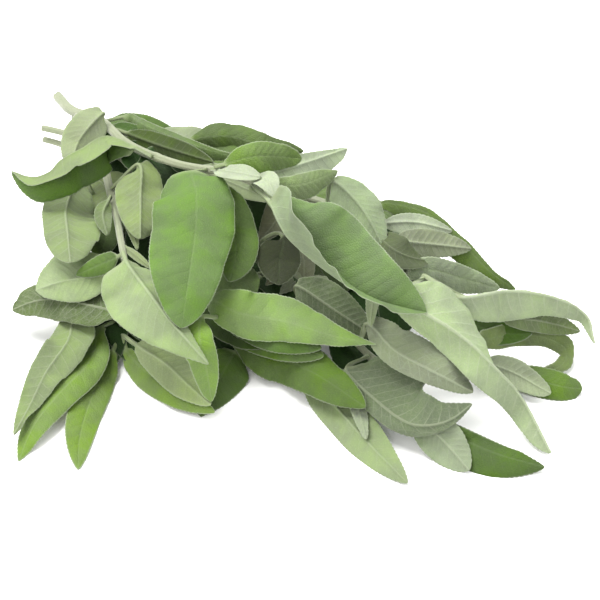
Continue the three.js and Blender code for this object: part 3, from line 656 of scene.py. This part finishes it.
def leaf_finish(name, side):
    """The living surface of a leaf's upper side or underside."""
    material = bpy.data.materials.new(name)
    add = node_maker(material)

    def reckon(operation, a, b=0.0, c=0.0):
        return add("ShaderNodeMath", {"operation": operation}, value_0=a, value_1=b,
                   value_2=c).outputs["Value"]

    def between(value, low, high, to_low=0.0, to_high=1.0):
        return add("ShaderNodeMapRange", {"interpolation_type": "SMOOTHSTEP"}, Value=value,
                   From_Min=low, From_Max=high, To_Min=to_low, To_Max=to_high).outputs["Result"]

    def cells(scale, randomness):
        """Distance from the walls of small cells, such as the net of veins makes."""
        return add("ShaderNodeTexVoronoi", {"feature": "DISTANCE_TO_EDGE"}, Vector=blade,
                   Scale=scale, Randomness=randomness).outputs["Distance"]

    def cloud(scale, detail, roughness=0.6):
        return add("ShaderNodeTexNoise", Vector=blade, Scale=scale, Detail=detail,
                   Roughness=roughness).outputs["Fac"]

    def parts_of(vector):
        """The three numbers that a vector holds."""
        split = add("ShaderNodeSeparateXYZ", Vector=vector)
        return [split.outputs[axis] for axis in "XYZ"]

    blade = marked(add, "blade")["Vector"]
    vein_count, vein_fade, from_margin = parts_of(marked(add, "veins")["Vector"])
    bright, grey, warm = parts_of(marked(add, "tone")["Vector"])
    strength, petiole, length = (marked(add, k)["Fac"] for k in ("strength", "petiole", "length"))
    aside = reckon("ABSOLUTE", parts_of(blade)[1])

    phase = reckon("MULTIPLY_ADD", cloud(0.35, 1.0), 0.12, vein_count)
    from_vein = reckon("ABSOLUTE", reckon("SUBTRACT", phase, reckon("ROUND", phase)))
    rib_half = reckon("MULTIPLY_ADD", length, -0.36, 0.62)
    net = cells(1.15, 0.95)
    lines = {
        "net": between(net, 0.16, 0.02),
        "branch": between(cells(0.42, 0.9), 0.06, 0.012),
        "side": reckon("MULTIPLY", between(from_vein, 0.085, 0.02), vein_fade),
        "rib": reckon("MAXIMUM", between(reckon("DIVIDE", aside, rib_half), 1.1, 0.6),
                      between(petiole, 0.3, 0.9)),
    }
    felt = cloud(3.4, 5.0, 0.65)
    patch = cloud(0.09, 3.0, 0.55)

    ground = mixed(add, grey, mixed(add, bright, *side["green"]), mixed(add, bright, *side["ashen"]))
    ground = add("ShaderNodeMix", {"data_type": "RGBA", "blend_type": "MULTIPLY"}, value_0=warm,
                 value_6=ground, value_7=(1.10, 1.0, 0.58, 1.0)).outputs[2]
    # broad patches of a fresher or duller green, and the speckle of short hairs
    shade = reckon("ADD", between(patch, 0.3, 0.7, -0.12, 0.12), between(felt, 0.3, 0.7, -0.09, 0.09))
    shade = reckon("ADD", shade, between(net, 0.0, 0.4, -0.07, 0.05))
    colour = add("ShaderNodeHueSaturation", Color=ground, Value=reckon("ADD", shade, 1.0),
                 Saturation=between(patch, 0.35, 0.7, 0.9, 1.12)).outputs["Color"]
    line_colour = mixed(add, bright, *side["line"])
    for kind, line in lines.items():
        share = reckon("MULTIPLY_ADD", strength, *side[kind])
        colour = mixed(add, reckon("MULTIPLY", line, share), colour, line_colour)
    colour = mixed(add, reckon("MULTIPLY", petiole, 0.7), colour, (0.204, 0.241, 0.134, 1))
    hairs = mixed(add, bright, (0.118, 0.139, 0.086, 1), (0.279, 0.322, 0.214, 1))
    margin = between(from_margin, 0.42, 0.1)
    colour = mixed(add, reckon("MULTIPLY", margin, side["hairs"]), colour, hairs)

    dent = reckon("MULTIPLY_ADD", between(net, 0.0, 0.4), side["pebble"],
                  reckon("MULTIPLY", felt, 0.5))
    ridge = reckon("MULTIPLY_ADD", lines["side"], side["vein_height"], dent)
    ridge = reckon("MULTIPLY_ADD", lines["net"], side["net_height"], ridge)
    relief = add("ShaderNodeBump", Height=ridge, Strength=0.5, Distance=0.00016)
    rough = between(felt, 0.25, 0.8, side["roughness"] - 0.06, side["roughness"] + 0.1)
    surface = add("ShaderNodeBsdfPrincipled", Base_Color=colour, Roughness=rough,
                  Normal=relief.outputs["Normal"], Sheen_Weight=0.03,
                  Sheen_Roughness=0.45, Sheen_Tint=(0.86, 0.93, 0.80, 1.0))
    surface.inputs["Specular IOR Level"].default_value = 0.14
    surface.inputs["Subsurface Weight"].default_value = 0.12
    surface.inputs["Subsurface Radius"].default_value = (0.6, 1.0, 0.25)
    surface.inputs["Subsurface Scale"].default_value = 0.0006
    add("ShaderNodeOutputMaterial", Surface=surface.outputs["BSDF"])
    return material


def fringe_finish():
    """The scalloped margin, edged with short pale hairs."""
    material = bpy.data.materials.new("leaf_fringe")
    add = node_maker(material)
    tone = add("ShaderNodeSeparateXYZ", Vector=marked(add, "tone")["Vector"])
    felt = add("ShaderNodeTexNoise", Vector=marked(add, "blade")["Vector"], Scale=5.0,
               Detail=4.0).outputs["Fac"]
    dull = mixed(add, felt, (0.054, 0.070, 0.038, 1), (0.139, 0.161, 0.102, 1))
    pale = mixed(add, felt, (0.172, 0.214, 0.118, 1), (0.311, 0.348, 0.247, 1))
    paint = mixed(add, tone.outputs["X"], dull, pale)
    relief = add("ShaderNodeBump", Height=felt, Strength=0.6, Distance=0.0001)
    surface = add("ShaderNodeBsdfPrincipled", Base_Color=paint, Roughness=0.85,
                  Normal=relief.outputs["Normal"], Sheen_Weight=0.2, Sheen_Roughness=0.5)
    add("ShaderNodeOutputMaterial", Surface=surface.outputs["BSDF"])
    return material


LEAF_SKINS = [leaf_finish("leaf_upper_side", UPPER_SIDE), leaf_finish("leaf_underside", UNDERSIDE),
              fringe_finish()]


def finish_leaves(looks):
    """Replaces each CAD leaf with its finished blade. looks has, for each node, the leaf's
    brightness, greyness, warmth, how clear its veins are and how wavy it is."""
    for node, look in looks.items():
        piece = leaf_piece(node + "_blade", leaf_shape(node), look, node)
        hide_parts(node)


finish_leaves({
    # crown_leaf_1 is raised to full brightness to lift the shadow that falls on it: painted light
    "crown_leaf_1": (1.00, 0.30, 0.2, 0.20, 0.6),
    "crown_leaf_2": (0.55, 0.00, 0.5, 0.10, 0.6),
    "crown_leaf_3": (0.60, 0.00, 0.2, 0.10, 0.8),
    "crown_leaf_4": (0.65, 0.30, 0.0, 0.30, 0.6),
})

# ---- Top leaves ------------------------------------------------------------------------------
# Six leaves that run along the far edge of the bunch, from the crown and right stems. The outer
# ones are dark, the inner ones greener, and one has its pale underside turned up.
finish_leaves({
    "top_leaf_1": (0.35, 0.20, 0.6, 0.30, 0.9),
    "top_leaf_2": (0.40, 0.30, 0.3, 0.30, 0.9),
    "top_leaf_3": (0.00, 0.00, 0.8, 0.05, 0.6),
    "top_leaf_4": (1.00, 0.50, 0.0, 0.20, 0.9),
    "top_leaf_5": (0.65, 0.10, 0.5, 0.20, 0.9),
    "top_leaf_6": (0.70, 0.50, 0.2, 0.40, 0.9),
})

# ---- Right fan -------------------------------------------------------------------------------
# Ten leaves from the ends of the right and front stems, most of them showing their ribbed
# undersides, and one that curls round on itself. The longest reaches out with its tip down.
finish_leaves({
    "right_leaf_1": (0.50, 0.10, 0.7, 0.20, 0.9),
    "right_leaf_2": (1.00, 0.70, 0.0, 0.00, 0.5),
    "right_leaf_3": (0.60, 0.60, 0.2, 0.50, 0.9),
    "right_leaf_4": (1.00, 0.80, 0.0, 0.30, 0.9),
    "right_leaf_5": (0.70, 0.20, 0.0, 0.10, 0.9),
    "right_leaf_6": (0.85, 0.60, 0.1, 0.40, 0.9),
    "right_leaf_7": (0.30, 0.00, 0.4, 0.50, 0.9),
    "right_leaf_8": (0.85, 0.30, 0.1, 0.80, 0.7),
    "right_leaf_9": (0.95, 0.20, 0.1, 0.80, 0.6),
    "right_leaf_10": (0.50, 0.00, 0.7, 0.20, 0.6),
    "curled_leaf": (0.60, 0.45, 0.5, 0.20, 0.5),
})

# ---- Front leaves ----------------------------------------------------------------------------
# Thirteen leaves from the front and low stems, which hang over the near side of the bunch, and a
# small one deep between them. Fresh green leaves lie among greyer ones whose veins show.
finish_leaves({
    "front_leaf_1": (0.30, 0.00, 0.7, 0.20, 0.9),
    "front_leaf_2": (0.70, 0.40, 0.0, 0.40, 0.9),
    "front_leaf_3": (0.35, 0.00, 0.6, 0.20, 0.9),
    "front_leaf_4": (0.65, 0.10, 0.2, 0.10, 0.9),
    "front_leaf_5": (0.70, 0.60, 0.0, 0.10, 0.9),
    "front_leaf_6": (0.28, 0.30, 0.0, 0.80, 0.9),
    "front_leaf_7": (0.45, 0.00, 0.7, 0.10, 1.2),
    "front_leaf_8": (0.45, 0.00, 0.6, 0.20, 0.9),
    "front_leaf_9": (0.35, 0.10, 0.3, 0.20, 0.9),
    "front_leaf_10": (0.20, 0.20, 0.1, 0.70, 0.9),
    "front_leaf_11": (0.60, 0.60, 0.1, 0.80, 0.9),
    "front_leaf_12": (1.00, 0.15, 0.3, 0.10, 1.2),
    "front_leaf_13": (0.95, 0.00, 0.5, 0.20, 0.9),
    # inner_leaf's grey-brown is its own, and its lowest brightness is painted shade
    "inner_leaf": (0.00, 0.80, 0.4, 0.05, 0.6),
})

# ---- Left fan --------------------------------------------------------------------------------
# Fourteen leaves, most of them from the left and side stems. They hang towards the table, the
# greater part with the pale underside out, and one near the cut ends is folded along its midrib.
finish_leaves({
    "left_leaf_1": (0.70, 0.00, 0.8, 0.15, 0.9),
    "left_leaf_2": (0.95, 0.10, 0.6, 0.20, 0.9),
    "left_leaf_3": (0.75, 0.00, 0.7, 0.20, 0.9),
    "left_leaf_4": (0.45, 0.00, 0.3, 0.40, 1.3),
    "left_leaf_5": (0.15, 0.00, 0.4, 1.00, 0.9),
    "left_leaf_6": (0.50, 0.00, 0.4, 0.30, 0.9),
    "left_leaf_7": (0.30, 0.00, 0.3, 0.30, 0.9),
    "left_leaf_8": (0.90, 0.00, 0.2, 0.20, 0.9),
    "left_leaf_9": (0.45, 0.00, 0.3, 0.40, 0.9),
    "left_leaf_10": (0.40, 0.10, 0.4, 0.20, 0.9),
    "left_leaf_11": (1.00, 0.00, 0.4, 0.20, 0.9),
    "left_leaf_12": (0.70, 0.00, 0.2, 0.30, 0.7),
    "left_leaf_13": (0.65, 0.50, 0.2, 0.00, 0.3),
    "left_leaf_14": (0.50, 0.00, 0.3, 0.15, 0.2),
})

# ---- Back leaves -----------------------------------------------------------------------------
# Five plain green leaves on the far side of the bunch. They grow from the right stem and hang
# down to the table.
finish_leaves({f"back_leaf_{k}": (0.50, 0.20, 0.4, 0.30, 0.9) for k in range(1, 6)})

# ---- Leaves and young shoots between the others ----------------------------------------------
# Between the stems are inner leaves coloured the darkest green as painted shade, behind them low
# leaves that lean down to the table, and small young leaves where a shoot is starting. Each grows on a
# stem, on a short petiole.
YOUNG_PETIOLE = 0.12          # share of the leaf's length
YOUNG_RINGS = 11
BASE_ROUNDNESS, TIP_ROUNDNESS = 0.55, 0.72
OUTLINE_PEAK = 0.42           # what the outline's formula comes to where the leaf is widest
CUP = 0.16
OPEN_TO = np.array((0.30, -0.20, 0.93))

# name, stem, share of the way along it, a point on the leaf's way to its tip and the tip (mm),
# half width (mm), and the side that is turned out
DEEP_LEAVES = [
    ("deep_leaf_1", "right_stem", 0.59, (1, 11, 36), (15, 9, 20), 8, "upper"),
    ("deep_leaf_2", "right_stem", 0.70, (15, 18, 40), (20, 6, 33), 6.5, "under"),
    ("deep_leaf_3", "front_stem", 0.70, (19, 23, 18), (11, 37, 20), 10, "upper"),
    ("deep_leaf_4", "front_stem", 0.79, (31, 30, 17), (47, 40, 13), 9, "under"),
    ("deep_leaf_5", "right_stem", 0.78, (33, 33, 30), (44, 30, 17), 9, "under"),
    ("deep_leaf_6", "right_stem", 0.94, (61, 45, 22), (72, 36, 12), 9, "upper"),
    ("deep_leaf_7", "right_stem", 0.89, (53, 48, 33), (64, 54, 27), 7, "under"),
    ("deep_leaf_8", "front_stem", 0.89, (66, 22, 9), (83, 21, 5), 9, "upper"),
    ("deep_leaf_9", "low_stem", 0.74, (39, -17, 15), (55, -7, 13), 6, "upper"),
    ("deep_leaf_10", "side_stem", 0.84, (12, -53, 9), (28, -57, 2), 8, "upper"),
    ("deep_leaf_11", "side_stem", 0.71, (7, -42, 14), (29, -41, 5), 9, "upper"),
    ("deep_leaf_12", "low_stem", 0.47, (-17, -24, 24), (5, -38, 19), 9, "upper"),
    ("deep_leaf_13", "side_stem", 0.40, (-33, -37, 21), (-12, -48, 20), 7.5, "upper"),
    ("deep_leaf_14", "crown_stem", 0.57, (-39, -12, 38), (-23, -14, 33), 8, "upper"),
    ("deep_leaf_15", "crown_stem", 0.79, (-2, 3, 48), (17, 14, 47), 6, "under"),
    ("deep_leaf_16", "low_stem", 0.61, (4, 5, 14), (25, 17, 10), 9, "upper"),
    ("deep_leaf_17", "low_stem", 0.79, (38, -2, 7), (55, 13, 4), 8, "upper"),
    ("deep_leaf_18", "front_stem", 0.82, (54, 25, 9), (68, 36, 5), 9, "upper"),
    ("deep_leaf_19", "front_stem", 0.60, (-4, 17, 16), (-9, 39, 18), 9, "upper"),
    ("deep_leaf_20", "right_stem", 0.81, (37, 37, 22), (61, 41, 12), 9, "upper"),
    ("deep_leaf_21", "side_stem", 0.28, (-52, -28, 19), (-26, -38, 16), 11, "under"),
    ("deep_leaf_22", "side_stem", 0.84, (16, -47, 7), (32, -51, 3), 9, "upper"),
    ("deep_leaf_23", "right_stem", 0.86, (38, 54, 35), (42, 66, 31), 4.5, "upper"),
    ("deep_leaf_24", "low_stem", 0.75, (36, -20, 9), (48, -17, 5), 8, "upper"),
    ("deep_leaf_25", "low_stem", 0.61, (16, 1, 13), (26, 10, 9), 9, "upper"),
    ("deep_leaf_26", "left_stem", 0.15, (-83, -18, 27), (-73, -15, 24), 7, "upper"),
    ("deep_leaf_27", "right_stem", 0.99, (84, 61, 21), (92, 83, 14), 7, "upper"),
    ("deep_leaf_28", "crown_stem", 0.51, (-56, -15, 34), (-45, -17, 30), 6, "upper"),
    ("deep_leaf_29", "crown_stem", 0.39, (-70, -11, 37), (-42, -6, 43), 3.5, "upper"),
    ("deep_leaf_30", "crown_stem", 0.85, (15, -1, 63), (25, 5, 65), 4, "under"),
    ("deep_leaf_31", "front_stem", 0.70, (37, 7, 23), (45, 11, 20), 6, "upper"),
    ("deep_leaf_32", "right_stem", 0.86, (59, 42, 43), (62, 55, 36), 6.5, "under"),
    ("deep_leaf_33", "left_stem", 0.15, (-80, -18, 22), (-65, -13, 18), 9, "upper"),
    ("deep_leaf_34", "crown_stem", 0.67, (-34, -6, 40), (-31, 1, 37), 4, "upper"),
    ("deep_leaf_35", "side_stem", 0.40, (-38, -37, 15), (-16, -35, 12), 9, "upper"),
    ("deep_leaf_36", "right_stem", 0.22, (-66, 6, 20), (-46, 20, 8), 8, "upper"),
    ("deep_leaf_37", "right_stem", 0.36, (-36, 14, 25), (-12, 30, 12), 9, "under"),
    ("deep_leaf_38", "front_stem", 0.45, (-24, 14, 12), (4, 32, 5), 10, "upper"),
    ("deep_leaf_39", "right_stem", 0.55, (6, 34, 28), (30, 52, 12), 9, "upper"),
    ("deep_leaf_40", "front_stem", 0.62, (20, 26, 12), (44, 46, 5), 10, "under"),
    ("deep_leaf_41", "right_stem", 0.82, (44, 56, 18), (64, 68, 6), 7, "under"),
    ("deep_leaf_42", "front_stem", 0.30, (-52, 6, 12), (-28, 16, 4), 9, "upper"),
    ("deep_leaf_43", "right_stem", 0.48, (-16, 26, 30), (-2, 48, 12), 8, "upper"),
    ("deep_leaf_44", "right_stem", 0.12, (-84, -1, 30), (-68, 20, 18), 4.5, "upper"),
    ("deep_leaf_45", "right_stem", 0.28, (-50, 10, 37), (-40, 32, 20), 6.5, "under"),
    ("deep_leaf_46", "right_stem", 0.40, (-26, 20, 41), (-19, 44, 24), 7, "upper"),
    ("shoot_leaf_1", "right_stem", 0.91, (68, 30, 37), (81, 21, 31), 2.7, "under"),
    ("shoot_leaf_2", "front_stem", 0.82, (38, 16, 24), (42, 4, 24), 4.5, "under"),
    ("shoot_leaf_3", "front_stem", 0.72, (33, 7, 26), (36, 1, 25), 3, "under"),
    ("shoot_leaf_4", "front_stem", 0.82, (34, 18, 27), (23, 20, 29), 4, "under"),
    ("shoot_leaf_5", "crown_stem", 0.98, (27, 6, 65), (36, 5, 63), 4.2, "under"),
    ("shoot_leaf_6", "left_stem", 0.92, (8, -39, 33), (15, -35, 30), 1.6, "under"),
    ("shoot_leaf_7", "left_stem", 0.63, (-12, -34, 33), (1, -36, 30), 2, "under"),
    ("shoot_leaf_8", "front_stem", 0.87, (42, 19, 22), (50, 21, 22), 5, "under"),
]
DEEP_FINENESS = 0.55
# any leaf not listed below gets this look: the darkest green, which is painted shade for the gaps
PAINTED_SHADE_LOOK = (0.00, 0.00, 0.3, 0.10, 0.6)
DEEP_LOOKS = {
    "deep_leaf_2": (0.12, 0.90, 0.4, 0.20, 0.6),
    "deep_leaf_7": (0.10, 0.30, 0.3, 0.20, 0.6),
    "deep_leaf_9": (0.20, 0.10, 0.6, 0.20, 0.6),
    "deep_leaf_13": (0.35, 0.20, 0.5, 0.20, 0.6),
    "deep_leaf_15": (0.60, 0.30, 0.2, 0.10, 0.4),
    "deep_leaf_21": (0.35, 0.10, 0.4, 0.20, 0.6),
    "deep_leaf_27": (0.22, 0.00, 0.6, 0.10, 0.6),
    "deep_leaf_29": (0.15, 0.00, 0.6, 0.10, 0.4),
    "deep_leaf_30": (0.92, 0.70, 0.0, 0.10, 0.3),
    "deep_leaf_32": (0.10, 0.35, 0.3, 0.20, 0.4),
    "deep_leaf_36": (0.45, 0.20, 0.4, 0.30, 0.8),
    "deep_leaf_37": (0.50, 0.50, 0.1, 0.50, 0.8),
    "deep_leaf_39": (0.30, 0.20, 0.4, 0.30, 0.8),
    "deep_leaf_43": (0.40, 0.20, 0.4, 0.30, 0.8),
    "deep_leaf_44": (0.35, 0.10, 0.4, 0.30, 0.8),
    "deep_leaf_45": (0.60, 0.50, 0.1, 0.50, 0.8),
    "deep_leaf_46": (0.50, 0.20, 0.4, 0.30, 0.8),
    "shoot_leaf_1": (0.70, 0.30, 0.2, 0.20, 0.3),
    "shoot_leaf_2": (0.35, 0.60, 0.2, 0.20, 0.3),
    "shoot_leaf_3": (0.20, 0.90, 0.5, 0.10, 0.3),
    "shoot_leaf_4": (0.20, 0.80, 0.3, 0.20, 0.3),
    "shoot_leaf_5": (0.92, 0.70, 0.0, 0.00, 0.2),
    "shoot_leaf_6": (0.70, 0.20, 0.4, 0.00, 0.2),
    "shoot_leaf_7": (0.65, 0.20, 0.4, 0.00, 0.2),
    "shoot_leaf_8": (0.40, 0.50, 0.2, 0.20, 0.3),
}


def young_leaf_shape(foot, way, tip, half_width, side):
    """Columns of a leaf bent along one even curve, a little cupped, and open to the light."""
    pull = 2 * way - (foot + tip) / 2
    stands = np.linspace(FIRST_RING, LAST_RING, YOUNG_RINGS)
    t = np.append(0.0, YOUNG_PETIOLE + (1 - YOUNG_PETIOLE) * stands)
    u = np.clip((t - YOUNG_PETIOLE) / (1 - YOUNG_PETIOLE), 0, 1)
    t = t[:, None]
    midrib = (1 - t) ** 2 * foot + 2 * t * (1 - t) * pull + t ** 2 * tip
    width = half_width * u ** BASE_ROUNDNESS * (1 - u) ** TIP_ROUNDNESS / OUTLINE_PEAK
    width[0] = PETIOLE_HALF
    along = unit(np.gradient(midrib, axis=0))
    facing = unit(OPEN_TO - along * (along @ OPEN_TO)[:, None])
    if side == "under":
        facing = -facing
    out = np.cross(along, facing)
    rim = np.array((-1, -HALFWAY, 0, HALFWAY, 1))[None, :, None]
    hollow = CUP * (1 if side == "upper" else -1)
    columns = midrib[:, None] + width[:, None, None] * (
        out[:, None] * rim + facing[:, None] * hollow * rim ** 2)
    return np.concatenate([columns, np.repeat(tip[None, None], 5, axis=1)]), facing


for name, stem, share, way, tip, half_width, side in DEEP_LEAVES:
    stem_line = stem_lines[stem]
    foot = stem_line[int(round(share * (len(stem_line) - 1)))]
    shape = young_leaf_shape(foot, np.array(way) * MM, np.array(tip) * MM, half_width * MM, side)
    leaf_piece(name, shape, DEEP_LOOKS.get(name, PAINTED_SHADE_LOOK), fineness=DEEP_FINENESS)
